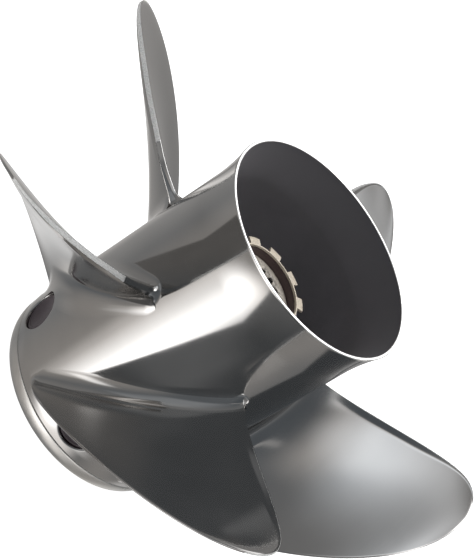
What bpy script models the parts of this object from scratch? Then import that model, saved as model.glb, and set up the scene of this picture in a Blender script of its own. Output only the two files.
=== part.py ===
"""Five-blade through-hub-exhaust boat propeller, right-handed, cast in stainless steel.

The shaft axis is Z and the open end points up (aft). The front face of the hub lies at z = 0
with the origin at its centre, so the propeller stands on its front ring. Metres throughout.

Each blade is a helicoid of constant pitch. A point of it is given by its radius, by its
distance along the pitch line from the blade's mid line, and by its height off the face.
"""

import math

import bmesh
import bpy

MM = 0.001

# Whole propeller
BLADE_COUNT = 5
TIP_RADIUS = 168.3 * MM
HUB_LENGTH = 171.8 * MM
PITCH = 501.7 * MM
FIT_GAP = 0.3 * MM  # between neighbouring solids
ROUND_STEPS = 60  # facets round the big turned pieces, a multiple of the blade count

# Hub barrel, front ring and flared rear end
BARREL_RADIUS = 59.3 * MM
BARREL_BORE = 54.5 * MM
FRONT_EDGE_RADIUS = 54.1 * MM
FRONT_BORE = 50.0 * MM
FRONT_RING_LENGTH = 10.5 * MM
FRONT_RING_RADIUS = 58.7 * MM
BARREL_SHOULDER = 16.0 * MM  # where the barrel reaches its full radius
FLARE_START = 146.0 * MM
RIM_RADIUS = 62.4 * MM
RIM_WALL = 1.6 * MM
EDGE_BREAK = 0.5 * MM  # small chamfer on turned edges

# Blades, measured at the rear (pressure) face
BLADE_ANGLE = math.radians(-77.3)  # mid line of the first blade at its root
BLADE_HEIGHT = 65.2 * MM  # mid line above the front face, at the root
ROOT_CHORD = 113.5 * MM
ROOT_RADIUS = 59.0 * MM
LEAD_EDGE = 0.9 * MM  # thickness of the leading edge
TRAIL_EDGE = 2.9 * MM  # and of the squared trailing edge
FACE_CROWN = 0.018  # how far the pressure face stands out in the middle, as a share of the chord
FILLET = 13.5 * MM  # height of the root fillet, and how far it spreads on the back
END_FILLET = 4.0 * MM  # how far it spreads round the two edges
FACE_FILLET = 9.5 * MM  # how far it spreads on the pressure face
HEAD_FILLET = 7.0 * MM  # the same at the leading edge
TAIL_FILLET = 7.5 * MM  # and at the trailing edge
CUP_RISE = 1.0 * MM  # how far the trailing edge bends towards the pressure face
CUP_WIDTH = 11.0 * MM
BACK_FADE = (0.5, 0.85)  # shares of the chord between which the back's fillet shrinks
CHORD_POINTS = 11
CHORD_START = 0.06  # share of the half turn left out, so that the leading edge's points lie less close
TIP_SHARE = 0.9993  # how far out the last station lies, just short of the tip where the chord is nothing

# Vents in the barrel and their plugs
VENT_RADIUS = 11.5 * MM
VENT_HEIGHT = 26.9 * MM
VENT_ANGLE = math.radians(-149.9)
VENT_ROD = 24.0 * MM  # length of the rod that cuts a vent
PLUG_DEPTH = 1.6 * MM  # top of the plug's rim below the barrel
PLUG_THICKNESS = 3.0 * MM
PLUG_DISH = 1.4 * MM

# Inner hub and its webs
INNER_RADIUS = 31.0 * MM
INNER_BORE = 24.5 * MM
INNER_FRONT = 8.0 * MM
INNER_REAR = 127.0 * MM
WEB_THICKNESS = 5.0 * MM
WEB_FRONT = 14.0 * MM
WEB_REAR = 92.0 * MM

# Drive parts in the inner hub
CUSHION_FRONT = 12.0 * MM
CUSHION_REAR = 132.5 * MM
CUSHION_BORE = 18.5 * MM
RECESS_RADIUS = 22.0 * MM
RECESS_FLOOR = 121.7 * MM
SPLINE_FRONT = 10.0 * MM
SPLINE_REAR = 128.0 * MM
SPLINE_COUNT = 15
SPLINE_MINOR = 13.8 * MM
SPLINE_MAJOR = 16.3 * MM
RING_REAR = 134.0 * MM
RING_RADIUS = 23.0 * MM
TOOTH_RADIUS = 26.8 * MM
TOOTH_COUNT = 10
TOOTH_ANGLE = math.radians(77.0)  # centre of one tooth


def clear_scene():
    for obj in list(bpy.data.objects):
        bpy.data.objects.remove(obj, do_unlink=True)


def finish(name, colour, roughness, metallic):
    """A Principled material of one colour."""
    material = bpy.data.materials.new(name)
    material.use_nodes = True
    shader = material.node_tree.nodes["Principled BSDF"]
    shader.inputs["Base Color"].default_value = (*colour, 1.0)
    shader.inputs["Roughness"].default_value = roughness
    shader.inputs["Metallic"].default_value = metallic
    material.diffuse_color = (*colour, 1.0)
    return material


def add_object(name, mesh, material=None):
    obj = bpy.data.objects.new(name, mesh)
    bpy.context.scene.collection.objects.link(obj)
    if material and not mesh.materials:
        mesh.materials.append(material)
    return obj


def mesh_from(name, bm):
    """A smooth-shaded mesh with sharp edges kept, its faces turned outwards."""
    bmesh.ops.recalc_face_normals(bm, faces=bm.faces[:])
    if bm.calc_volume(signed=True) < 0:
        bmesh.ops.reverse_faces(bm, faces=bm.faces[:])
    mesh = bpy.data.meshes.new(name)
    bm.to_mesh(mesh)
    bm.free()
    mesh.shade_smooth()
    mesh.set_sharp_from_angle(angle=math.radians(35))
    return mesh


def hide(obj):
    """Marks a cutter, which is no piece of the propeller."""
    obj.hide_render = True
    obj.display_type = "WIRE"
    return obj


def cut(obj, cutter):
    modifier = obj.modifiers.new("cut_" + cutter.name, "BOOLEAN")
    modifier.operation = "DIFFERENCE"
    modifier.object = cutter
    modifier.solver = "EXACT"


def turned(name, profile, material=None, steps=ROUND_STEPS):
    """Turns a closed outline of (radius, height) points once round the Z axis."""
    bm = bmesh.new()
    loop = [bm.verts.new((radius, 0.0, height)) for radius, height in profile]
    edges = [bm.edges.new((a, b)) for a, b in zip(loop, loop[1:] + loop[:1])]
    bmesh.ops.spin(
        bm,
        geom=loop + edges,
        axis=(0, 0, 1),
        cent=(0, 0, 0),
        angle=2 * math.pi,
        steps=steps,
        use_merge=True,
    )
    bmesh.ops.remove_doubles(bm, verts=bm.verts[:], dist=1e-6)
    return add_object(name, mesh_from(name, bm), material)


def quarter_curve(start, end, count):
    """Points of a quarter ellipse from start, where it runs radially, to end, where it runs along Z."""
    points = []
    for i in range(count + 1):
        turn = math.pi / 2 * i / count
        radius = start[0] + (end[0] - start[0]) * math.sin(turn)
        height = start[1] + (end[1] - start[1]) * (1 - math.cos(turn))
        points.append((radius, height))
    return points


def add_front_ring(material):
    """The machined band at the front of the hub, whose front face the propeller stands on."""
    outer = quarter_curve((FRONT_EDGE_RADIUS, 0.0), (FRONT_RING_RADIUS, FRONT_RING_LENGTH - EDGE_BREAK), 6)
    rear = [(FRONT_RING_RADIUS - EDGE_BREAK, FRONT_RING_LENGTH), (FRONT_BORE, FRONT_RING_LENGTH)]
    front = [(FRONT_BORE, EDGE_BREAK), (FRONT_BORE + EDGE_BREAK, 0.0)]
    return turned("front_ring", outer + rear + front, material)


def add_hub_barrel(material, rods):
    """The outer tube of the hub, with one round vent at the foot of each blade's back."""
    front = FRONT_RING_LENGTH + FIT_GAP
    rear = FLARE_START - FIT_GAP
    outer = [
        (FRONT_RING_RADIUS - EDGE_BREAK, front),
        (FRONT_RING_RADIUS, front + EDGE_BREAK),
        (BARREL_RADIUS, BARREL_SHOULDER),
        (BARREL_RADIUS, rear),
    ]
    barrel = turned("hub_barrel", outer + [(BARREL_BORE, rear), (BARREL_BORE, front)], material)
    for rod in rods:
        cut(barrel, rod)
    return barrel


def vent_rod(i):
    """A round cutter that points outwards through the barrel's wall and the foot of a blade."""
    bm = bmesh.new()
    bmesh.ops.create_cone(
        bm,
        cap_ends=True,
        segments=24,
        radius1=VENT_RADIUS,
        radius2=VENT_RADIUS,
        depth=VENT_ROD,
    )
    place_outwards(bm, VENT_ANGLE + i * 2 * math.pi / BLADE_COUNT)
    name = f"vent_rod_{i + 1}"
    return hide(add_object(name, mesh_from(name, bm)))


def place_outwards(bm, angle):
    """Lays points drawn about Z along the outward line through a vent, at the barrel's radius."""
    for vert in bm.verts:
        x, y, z = vert.co
        radius = BARREL_RADIUS + z
        vert.co = (
            radius * math.cos(angle) - x * math.sin(angle),
            radius * math.sin(angle) + x * math.cos(angle),
            VENT_HEIGHT + y,
        )


def add_vent_plugs(material):
    """A dished plastic plug in each vent."""
    rim = VENT_RADIUS - FIT_GAP
    profile = [
        (0.0, -PLUG_DEPTH - PLUG_DISH),
        (0.45 * rim, -PLUG_DEPTH - 0.8 * PLUG_DISH),
        (0.80 * rim, -PLUG_DEPTH - 0.25 * PLUG_DISH),
        (0.90 * rim, -PLUG_DEPTH),
        (rim, -PLUG_DEPTH - 0.3 * MM),
        (rim, -PLUG_DEPTH - PLUG_THICKNESS),
        (0.0, -PLUG_DEPTH - PLUG_THICKNESS),
    ]
    for i in range(BLADE_COUNT):
        bm = bmesh.new()
        chain = [bm.verts.new((radius, 0.0, height)) for radius, height in profile]
        edges = [bm.edges.new(pair) for pair in zip(chain, chain[1:])]
        bmesh.ops.spin(
            bm,
            geom=chain + edges,
            axis=(0, 0, 1),
            cent=(0, 0, 0),
            angle=2 * math.pi,
            steps=24,
            use_merge=True,
        )
        bmesh.ops.remove_doubles(bm, verts=bm.verts[:], dist=1e-6)
        place_outwards(bm, VENT_ANGLE + i * 2 * math.pi / BLADE_COUNT)
        name = f"vent_plug_{i + 1}"
        add_object(name, mesh_from(name, bm), material)


def flare_radius(height):
    """Outer radius of the rear end, which opens as the square of the distance."""
    along = (height - FLARE_START) / (HUB_LENGTH - FLARE_START)
    return BARREL_RADIUS + (RIM_RADIUS - BARREL_RADIUS) * max(along, 0.0) ** 2


def flare_bore(height):
    """Inner radius of the rear end, from the barrel's bore to the thin rim."""
    along = (height - FLARE_START) / (HUB_LENGTH - FLARE_START)
    return BARREL_BORE + (RIM_RADIUS - RIM_WALL - BARREL_BORE) * max(along, 0.0) ** 1.4


def add_diffuser_ring(material):
    """The flared rear end of the hub."""
    steps = 5
    lip = RIM_WALL / 3
    top = HUB_LENGTH - lip
    heights = [FLARE_START + (top - FLARE_START) * i / steps for i in range(steps + 1)]
    outer = [(flare_radius(height), height) for height in heights]
    rim = [(RIM_RADIUS - lip, HUB_LENGTH), (RIM_RADIUS - 2 * lip, HUB_LENGTH)]
    inner = [(flare_bore(height), height) for height in reversed(heights)]
    return turned("diffuser_ring", outer + rim + inner, material)


def blade_chord(span):
    """Chord at a share of the way from root to tip, rounded off at the tip."""
    width = ROOT_CHORD + (17.9 * span - 46.7 * span**2 - 43.6 * span**3) * MM
    return width * math.sqrt(max(1.0 - span**21, 0.0))


def blade_skew(span):
    """How far the middle of the chord runs back along the pitch line."""
    return (22.3 * span + 48.2 * span**2) * MM


def blade_rake(span):
    """How far the blade leans to the rear."""
    return (11.9 * span + 37.1 * span**2 - 12.9 * span**3) * MM


def blade_thickness(span, along):
    """Thickness at a share of the chord from the leading to the squared trailing edge."""
    root_share = 1.0 - span
    tip_share = span**10
    lead = LEAD_EDGE + (1.4 * root_share**6 + 0.4 * tip_share) * MM
    trail = TRAIL_EDGE + (2.2 * root_share**6 - 1.6 * tip_share) * MM
    swell = (3.1 + 4.8 * root_share**1.2) * MM * (1.0 - tip_share)
    return lead + (trail - lead) * along + swell * math.sin(math.pi * along**1.3)


def eased(low, high, value):
    """0 below low and 1 above high, with a smooth rise between them."""
    share = min(max((value - low) / (high - low), 0.0), 1.0)
    return share * share * (3.0 - 2.0 * share)


def face_fillet(along):
    """How far the root fillet spreads on the pressure face, at a share of the chord."""
    edge = TAIL_FILLET if along > 0.5 else HEAD_FILLET
    return FACE_FILLET + (edge - FACE_FILLET) * abs(2 * along - 1) ** 3


def back_fillet(along):
    """The same on the back, where it is small at both edges and shrinks well before the trailing one."""
    share = (1.0 - abs(2 * along - 1) ** 3) * (1.0 - eased(*BACK_FADE, along))
    return END_FILLET + (FILLET - END_FILLET) * share


def cup_rise(span, from_trailing_edge):
    """How far the section bends up near its trailing edge, fading out towards the root and the tip."""
    share = max(1.0 - from_trailing_edge / CUP_WIDTH, 0.0) ** 2
    return CUP_RISE * share * eased(0.15, 0.4, span) * (1.0 - eased(0.85, 1.0, span))


def blade_point(radius, chordwise, off_face, span):
    """World point from the place on the pitch line and the height off the face."""
    slope = math.atan(PITCH / (2 * math.pi * radius))
    across = chordwise * math.cos(slope) - off_face * math.sin(slope)
    angle = BLADE_ANGLE + across / radius
    height = BLADE_HEIGHT + blade_rake(span) + chordwise * math.sin(slope) + off_face * math.cos(slope)
    return (radius * math.cos(angle), radius * math.sin(angle), height)


def chord_shares():
    """Shares of the chord from 0 to 1, closer together near its two ends."""
    turns = [CHORD_START + (1.0 - CHORD_START) * i / (CHORD_POINTS - 1) for i in range(CHORD_POINTS)]
    shares = [0.5 - 0.5 * math.cos(math.pi * turn) for turn in turns]
    return [(share - shares[0]) / (1.0 - shares[0]) for share in shares]


def blade_section(radius, flare):
    """Closed ring of points round the blade at one radius, spread outwards by the root flare."""
    span = max((radius - ROOT_RADIUS) / (TIP_RADIUS - ROOT_RADIUS), 0.0)
    chord = blade_chord(span)
    middle = blade_skew(span)
    face, back = [], []
    for along in chord_shares():
        place = middle + (along - 0.5) * chord + (2 * along - 1) * END_FILLET * flare
        crown = FACE_CROWN * chord * 4 * along * (1 - along) + cup_rise(span, (1 - along) * chord)
        above = crown + face_fillet(along) * flare
        below = crown - blade_thickness(span, along) - back_fillet(along) * flare
        face.append(blade_point(radius, place, above, span))
        back.append(blade_point(radius, place, below, span))
    return face + back[::-1]


def blade_stations():
    """(radius, flare) pairs from inside the barrel, up the root fillet and out to the tip."""
    stations = [(BARREL_RADIUS - 4 * MM, 1.0)]
    for degrees in (15, 30, 45, 60, 75, 90):
        turn = math.radians(degrees)
        stations.append((BARREL_RADIUS + FILLET * (1 - math.cos(turn)), 1 - math.sin(turn)))
    start = stations[-1][0]
    count = 11
    for i in range(1, count + 1):
        share = 1 - (1 - i / count) ** 2
        stations.append((start + (TIP_RADIUS - start) * min(share, TIP_SHARE), 0.0))
    return stations


def blade_mesh():
    bm = bmesh.new()
    rings = []
    for radius, flare in blade_stations():
        rings.append([bm.verts.new(point) for point in blade_section(radius, flare)])
    for lower, upper in zip(rings, rings[1:]):
        for i in range(len(lower)):
            j = (i + 1) % len(lower)
            bm.faces.new((lower[i], lower[j], upper[j], upper[i]))
    last = 2 * CHORD_POINTS - 1
    for ring in (rings[0], rings[-1]):
        for i in range(CHORD_POINTS - 1):
            bm.faces.new((ring[i], ring[i + 1], ring[last - i - 1], ring[last - i]))
    bmesh.ops.triangulate(bm, faces=bm.faces[:])
    return mesh_from("blade", bm)


def add_blades(material, rods):
    """Five like blades, each cut clear of the barrel and of the vent at its foot, the next one round."""
    clear = BARREL_RADIUS + FIT_GAP
    cutter = hide(
        turned("barrel_cutter", [(clear, 0.0), (clear, HUB_LENGTH), (40 * MM, HUB_LENGTH), (40 * MM, 0.0)])
    )
    mesh = blade_mesh()
    for i in range(BLADE_COUNT):
        blade = add_object(f"blade_{i + 1}", mesh, material)
        blade.rotation_euler.z = i * 2 * math.pi / BLADE_COUNT
        cut(blade, cutter)
        cut(blade, rods[(i + 1) % BLADE_COUNT])


def add_inner_hub(material):
    profile = [
        (INNER_RADIUS - EDGE_BREAK, INNER_FRONT),
        (INNER_RADIUS, INNER_FRONT + EDGE_BREAK),
        (INNER_RADIUS, INNER_REAR - EDGE_BREAK),
        (INNER_RADIUS - EDGE_BREAK, INNER_REAR),
        (INNER_BORE, INNER_REAR),
        (INNER_BORE, INNER_FRONT),
    ]
    return turned("inner_hub", profile, material)


def add_webs(material):
    """Flat webs that carry the inner hub in the barrel, midway between the vents."""
    facet = math.cos(math.pi / ROUND_STEPS)
    inside = INNER_RADIUS + FIT_GAP
    outside = math.sqrt(BARREL_BORE**2 - (WEB_THICKNESS / 2) ** 2) * facet - FIT_GAP
    size = (outside - inside, WEB_THICKNESS, WEB_REAR - WEB_FRONT)
    middle = (inside + outside) / 2
    for i in range(BLADE_COUNT):
        angle = VENT_ANGLE + (i + 0.5) * 2 * math.pi / BLADE_COUNT
        bm = bmesh.new()
        bmesh.ops.create_cube(bm, size=1.0)
        bmesh.ops.scale(bm, vec=size, verts=bm.verts[:])
        name = f"web_{i + 1}"
        web = add_object(name, mesh_from(name, bm), material)
        web.location = (middle * math.cos(angle), middle * math.sin(angle), (WEB_FRONT + WEB_REAR) / 2)
        web.rotation_euler.z = angle


def add_cushion_sleeve(material):
    """The dark sleeve between the inner hub and the splined sleeve, with a collar at its rear."""
    outside = INNER_BORE - FIT_GAP
    profile = [
        (outside, CUSHION_FRONT),
        (outside, CUSHION_REAR),
        (RECESS_RADIUS, CUSHION_REAR),
        (RECESS_RADIUS, RECESS_FLOOR),
        (CUSHION_BORE, RECESS_FLOOR),
        (CUSHION_BORE, CUSHION_FRONT),
    ]
    return turned("cushion_sleeve", profile, material)


def spline_outline():
    """Inner outline of the splined bore: straight-sided grooves between round lands."""
    points = []
    step = 2 * math.pi / SPLINE_COUNT
    for i in range(SPLINE_COUNT):
        for share, radius in ((0.0, SPLINE_MINOR), (0.42, SPLINE_MINOR), (0.55, SPLINE_MAJOR), (0.87, SPLINE_MAJOR)):
            angle = (i + share) * step
            points.append((radius * math.cos(angle), radius * math.sin(angle)))
    return points


def add_splined_sleeve(material):
    """The metal sleeve that takes the shaft's splines, flanged at its rear end."""
    flange = RECESS_RADIUS - FIT_GAP
    body = CUSHION_BORE - FIT_GAP
    shoulder = RECESS_FLOOR + FIT_GAP
    levels = (
        (body, SPLINE_FRONT),
        (body, shoulder),
        (flange, shoulder),
        (flange, SPLINE_REAR - EDGE_BREAK),
        (flange - EDGE_BREAK, SPLINE_REAR),
    )
    inner_points = spline_outline()
    count = len(inner_points)
    bm = bmesh.new()
    outer_rings = []
    for radius, height in levels:
        ring = []
        for x, y in inner_points:
            angle = math.atan2(y, x)
            ring.append(bm.verts.new((radius * math.cos(angle), radius * math.sin(angle), height)))
        outer_rings.append(ring)
    inner_rings = [
        [bm.verts.new((x, y, height)) for x, y in inner_points] for height in (SPLINE_REAR, SPLINE_FRONT)
    ]
    rings = outer_rings + inner_rings
    for lower, upper in zip(rings, rings[1:] + rings[:1]):
        for i in range(count):
            j = (i + 1) % count
            bm.faces.new((lower[i], lower[j], upper[j], upper[i]))
    return add_object("splined_sleeve", mesh_from("splined_sleeve", bm), material)


def add_castellated_ring(material):
    """The thin ring on the collar, with square teeth round its outside."""
    front = CUSHION_REAR + FIT_GAP
    step = 2 * math.pi / TOOTH_COUNT
    outline = []
    for i in range(TOOTH_COUNT):
        start = TOOTH_ANGLE + (i - 0.25) * step
        for share, radius in (
            (0.0, RING_RADIUS),
            (0.015, TOOTH_RADIUS),
            (0.25, TOOTH_RADIUS),
            (0.485, TOOTH_RADIUS),
            (0.50, RING_RADIUS),
            (0.75, RING_RADIUS),
        ):
            outline.append((start + share * step, radius))
    bm = bmesh.new()
    rings = []
    for rear, inside in ((False, False), (True, False), (True, True), (False, True)):
        ring = []
        for angle, radius in outline:
            distance = RECESS_RADIUS if inside else radius
            height = RING_REAR if rear else front
            ring.append(bm.verts.new((distance * math.cos(angle), distance * math.sin(angle), height)))
        rings.append(ring)
    for lower, upper in zip(rings, rings[1:] + rings[:1]):
        for i in range(len(outline)):
            j = (i + 1) % len(outline)
            bm.faces.new((lower[i], lower[j], upper[j], upper[i]))
    return add_object("castellated_ring", mesh_from("castellated_ring", bm), material)


def build_propeller():
    clear_scene()
    polished = finish("polished_steel", (0.33, 0.32, 0.31), 0.12, 1.0)
    machined = finish("machined_steel", (0.55, 0.54, 0.52), 0.22, 1.0)
    blade_steel = finish("blade_steel", (0.34, 0.34, 0.34), 0.14, 1.0)
    dark_casting = finish("dark_casting", (0.04, 0.04, 0.043), 0.55, 0.4)
    rods = [vent_rod(i) for i in range(BLADE_COUNT)]
    add_front_ring(machined)
    add_hub_barrel(polished, rods)
    add_diffuser_ring(finish("flare_steel", (0.32, 0.31, 0.30), 0.13, 1.0))
    add_blades(blade_steel, rods)
    add_vent_plugs(finish("plug_plastic", (0.05, 0.04, 0.05), 0.35, 0.0))
    add_inner_hub(dark_casting)
    add_webs(finish("web_casting", (0.045, 0.045, 0.047), 0.6, 0.4))
    add_cushion_sleeve(finish("cushion_plastic", (0.045, 0.03, 0.025), 0.5, 0.0))
    add_splined_sleeve(finish("sleeve_steel", (0.50, 0.47, 0.42), 0.35, 1.0))
    add_castellated_ring(finish("bronze_ring", (0.62, 0.55, 0.43), 0.45, 0.8))


build_propeller()
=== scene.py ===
import math

import bmesh
import bpy
import numpy as np
from mathutils import Matrix


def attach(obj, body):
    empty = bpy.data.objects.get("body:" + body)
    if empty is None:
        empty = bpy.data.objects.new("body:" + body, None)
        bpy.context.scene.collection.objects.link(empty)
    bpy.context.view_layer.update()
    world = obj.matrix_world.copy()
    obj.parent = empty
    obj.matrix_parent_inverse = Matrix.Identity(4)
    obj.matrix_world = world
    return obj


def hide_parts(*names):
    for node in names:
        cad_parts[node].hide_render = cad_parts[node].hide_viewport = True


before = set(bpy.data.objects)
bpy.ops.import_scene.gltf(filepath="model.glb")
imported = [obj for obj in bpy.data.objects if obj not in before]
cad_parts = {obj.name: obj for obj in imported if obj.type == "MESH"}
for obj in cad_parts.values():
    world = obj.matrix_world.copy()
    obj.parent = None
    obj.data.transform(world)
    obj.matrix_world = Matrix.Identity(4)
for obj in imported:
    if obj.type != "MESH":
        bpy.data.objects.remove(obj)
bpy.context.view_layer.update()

mm = 0.001
turn = 2 * math.pi
bladeCount = 5  # and as many vents and webs
play = 0.05 * mm  # by which the hub casting and the front band stay off each other
seam = 0.002 * mm  # points closer than this become one


def fifth(k):
    # angle from the first of five like pieces to the one k places on
    return turn * k / bladeCount


# Small helpers for curves

def smoothStep(low, high, x):
    # 0 up to low, 1 from high on, and between them 3 t squared less 2 t cubed
    t = np.clip((x - low) / (high - low), 0.0, 1.0)
    return t * t * (3.0 - 2.0 * t)


def powerSum(factors, x):
    # the first factor times x, plus the second times x squared, and so on
    return sum(factor * x ** (k + 1) for k, factor in enumerate(factors))


def roundOff(distance, radius):
    # how far a round corner or fillet departs from its wall, at this distance from the other wall
    reach = np.maximum(radius - distance, 0.0)
    return radius - np.sqrt(np.maximum(radius**2 - reach**2, 0.0))


def joinRuns(*runs):
    # stretches of points end to end, without repeating the point where two stretches meet
    parts = [np.asarray(runs[0], float)]
    for run in runs[1:]:
        run = np.asarray(run, float)
        same = np.allclose(run[0], parts[-1][-1], atol=1e-9)
        parts.append(run[1:] if same else run)
    return np.concatenate(parts)


def arcRun(centre, radius, startDegrees, endDegrees, steps=5):
    # points centre + radius * (cos a, sin a), with a in even steps
    a = np.radians(np.linspace(startDegrees, endDegrees, steps + 1))
    return np.stack([centre[0] + radius * np.cos(a), centre[1] + radius * np.sin(a)], 1)


# Meshes from grids of points

def aboutShaft(radius, angle, height):
    # points by their distance from the shaft, angle and height: x = r cos a, y = r sin a, z = h
    r, a, h = np.broadcast_arrays(radius, angle, height)
    return np.stack([r * np.cos(a), r * np.sin(a), h], -1)


def turnedGrid(profile, angles):
    # a ring of points for each radius and height; a radius may be an array with one value per angle
    return np.stack([aboutShaft(radius, angles, height) for radius, height in profile])


def rotated(grid, angle):
    # the same grid turned about Z
    c, s = math.cos(angle), math.sin(angle)
    return grid @ np.array([[c, s, 0.0], [-s, c, 0.0], [0.0, 0.0, 1.0]])


def meshFromGrids(name, grids):
    # One mesh from several grids. A grid is its points, rows by columns by 3, its material and, on a
    # blade, a dictionary of point values. Points that meet are merged, so that seams close.
    points, quads, looks = [], [], []
    values = {}
    start = 0
    materials = list(dict.fromkeys(grid[1] for grid in grids))
    for at, material, *extra in grids:
        rows, columns = at.shape[:2]
        index = start + np.arange(rows * columns).reshape(rows, columns)
        quad = np.stack([index[:-1, :-1], index[:-1, 1:], index[1:, 1:], index[1:, :-1]], -1)
        points.append(at.reshape(-1, 3))
        quads.append(quad.reshape(-1, 4))
        looks.append(np.full(len(quads[-1]), materials.index(material), np.int32))
        for key, value in (extra[0] if extra else {}).items():
            values.setdefault(key, []).append(np.broadcast_to(value, (rows, columns)).ravel())
        start += rows * columns
    mesh = bpy.data.meshes.new(name)
    mesh.from_pydata(np.concatenate(points), [], np.concatenate(quads))
    mesh.polygons.foreach_set("material_index", np.concatenate(looks))
    for material in filter(None, materials):
        mesh.materials.append(material)
    for key, value in values.items():
        attribute = mesh.attributes.new(key, "FLOAT", "POINT")
        attribute.data.foreach_set("value", np.concatenate(value).astype(np.float32))
    closeMesh(mesh)
    return mesh


def closeMesh(mesh):
    # merges points that coincide, drops faces that closed up and turns the rest outwards
    bm = bmesh.new()
    bm.from_mesh(mesh)
    bmesh.ops.remove_doubles(bm, verts=bm.verts[:], dist=seam)
    bmesh.ops.dissolve_degenerate(bm, edges=bm.edges[:], dist=seam / 20)
    bmesh.ops.recalc_face_normals(bm, faces=bm.faces[:])
    if bm.calc_volume(signed=True) < 0:
        bmesh.ops.reverse_faces(bm, faces=bm.faces[:])
    bm.to_mesh(mesh)
    bm.free()


def addObject(name, data):
    piece = bpy.data.objects.new(name, data)
    bpy.context.scene.collection.objects.link(piece)
    return piece


def drill(piece, rod):
    # cuts the rod out of the piece's mesh
    modifier = piece.modifiers.new("drill", "BOOLEAN")
    modifier.object = rod
    modifier.solver = "EXACT"
    graph = bpy.context.evaluated_depsgraph_get()
    mesh = bpy.data.meshes.new_from_object(piece.evaluated_get(graph))
    piece.modifiers.clear()
    piece.data = mesh
    bpy.data.objects.remove(rod)


def addSkin(name, grids, slot, *replaces, sharp=40.0, rod=None):
    # A piece over the CAD nodes that it replaces. Edges that turn by more than sharp degrees stay crisp.
    piece = addObject(name, meshFromGrids(name, grids))
    if rod:
        drill(piece, rod)
    piece.data.shade_smooth()
    piece.data.set_sharp_from_angle(angle=math.radians(sharp))
    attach(piece, "root")
    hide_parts(*replaces)


# Shader maths

class Wire:
    # wraps a socket, so that a sum or product of wires and numbers adds its Math nodes
    def __init__(self, paint, socket):
        self.paint = paint
        self.socket = socket

    def math(self, operation, *others):
        return self.paint.math(operation, self, *others)

    def __add__(self, other):
        return self.math("ADD", other)

    def __sub__(self, other):
        return self.math("SUBTRACT", other)

    def __mul__(self, other):
        return self.math("MULTIPLY", other)

    def __truediv__(self, other):
        return self.math("DIVIDE", other)

    def __rsub__(self, other):
        return self.paint.math("SUBTRACT", other, self)

    def __rtruediv__(self, other):
        return self.paint.math("DIVIDE", other, self)

    __radd__ = __add__
    __rmul__ = __mul__


class Paint:
    # a node tree, and the one method that adds any node to it
    def __init__(self, tree):
        self.tree = tree

    def add(self, kind, settings=None, inputs=(), output=0):
        node = self.tree.nodes.new(kind)
        for key, value in (settings or {}).items():
            setattr(node, key, value)
        pairs = inputs.items() if isinstance(inputs, dict) else enumerate(inputs)
        for key, value in pairs:
            self.plug(node.inputs[key], value)
        return Wire(self, node.outputs[output])

    def plug(self, socket, value):
        # links a wire to the socket, or sets its fixed value
        if isinstance(value, Wire):
            self.tree.links.new(value.socket, socket)
        else:
            socket.default_value = value

    def math(self, operation, *inputs):
        return self.add("ShaderNodeMath", {"operation": operation}, inputs)

    def place(self):
        # the point on the piece, in millimetres
        at = self.add("ShaderNodeTexCoord", output="Object")
        return self.add("ShaderNodeMapping", {}, {"Vector": at, "Scale": (1 / mm, 1 / mm, 1 / mm)})

    def parts(self, at):
        node = self.add("ShaderNodeSeparateXYZ", {}, [at]).socket.node
        return [Wire(self, output) for output in node.outputs]

    def fromShaft(self, at):
        # distance from the shaft, and height
        x, y, z = self.parts(at)
        return (x * x + y * y).math("SQRT"), z

    def reach(self, vector, axis):
        # how far a vector reaches along an axis
        return self.add("ShaderNodeVectorMath", {"operation": "DOT_PRODUCT"}, [vector, axis], "Value")

    def value(self, name):
        # a point value of the piece's mesh
        return self.add("ShaderNodeAttribute", {"attribute_name": name}, output="Fac")

    def noise(self, at, scale, detail=2.0, roughness=0.5, distortion=0.0):
        inputs = {"Vector": at, "Scale": scale, "Detail": detail}
        inputs.update({"Roughness": roughness, "Distortion": distortion})
        return self.add("ShaderNodeTexNoise", {}, inputs, "Fac")

    def spread(self, wire, low, high, toLow=0.0, toHigh=1.0):
        # low..high stretched to toLow..toHigh and held there
        return self.add("ShaderNodeMapRange", {"clamp": True}, [wire, low, high, toLow, toHigh])

    def mix(self, share, first, second):
        # a colour between two colours
        first = first if isinstance(first, Wire) else (*first, 1.0)
        second = second if isinstance(second, Wire) else (*second, 1.0)
        return self.add("ShaderNodeMix", {"data_type": "RGBA"}, {0: share, 6: first, 7: second}, 2)


class Finish(Paint):
    # a material with a Principled shader, whose fixed inputs are given by name
    def __init__(self, name, constants):
        self.material = bpy.data.materials.new(name)
        self.material.use_nodes = True
        super().__init__(self.material.node_tree)
        self.shader = self.tree.nodes["Principled BSDF"]
        for key, value in constants.items():
            self.shader.inputs[key].default_value = value

    def feed(self, colour, roughness, relief=None, metallic=None):
        # what changes over the surface; the relief is a height in millimetres
        given = {"Base Color": colour, "Roughness": roughness}
        if relief:
            inputs = {"Height": relief, "Distance": mm, "Strength": 1.0}
            given["Normal"] = self.add("ShaderNodeBump", {}, inputs, "Normal")
        if metallic:
            given["Metallic"] = metallic
        for key, value in given.items():
            self.plug(self.shader.inputs[key], value)
        return self.material


# Finishes. Their sizes and depths are in millimetres, and their scales in waves per millimetre.

def shaded(colour, factor):
    # the same colour darker or lighter
    return tuple(min(c * factor, 1.0) for c in colour)


def mottled(paint, share, colour, change):
    # the colour between a darker and a lighter shade of itself, by a share from 0 to 1
    return paint.mix(share, shaded(colour, 1 - change), shaded(colour, 1 + change))


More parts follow.
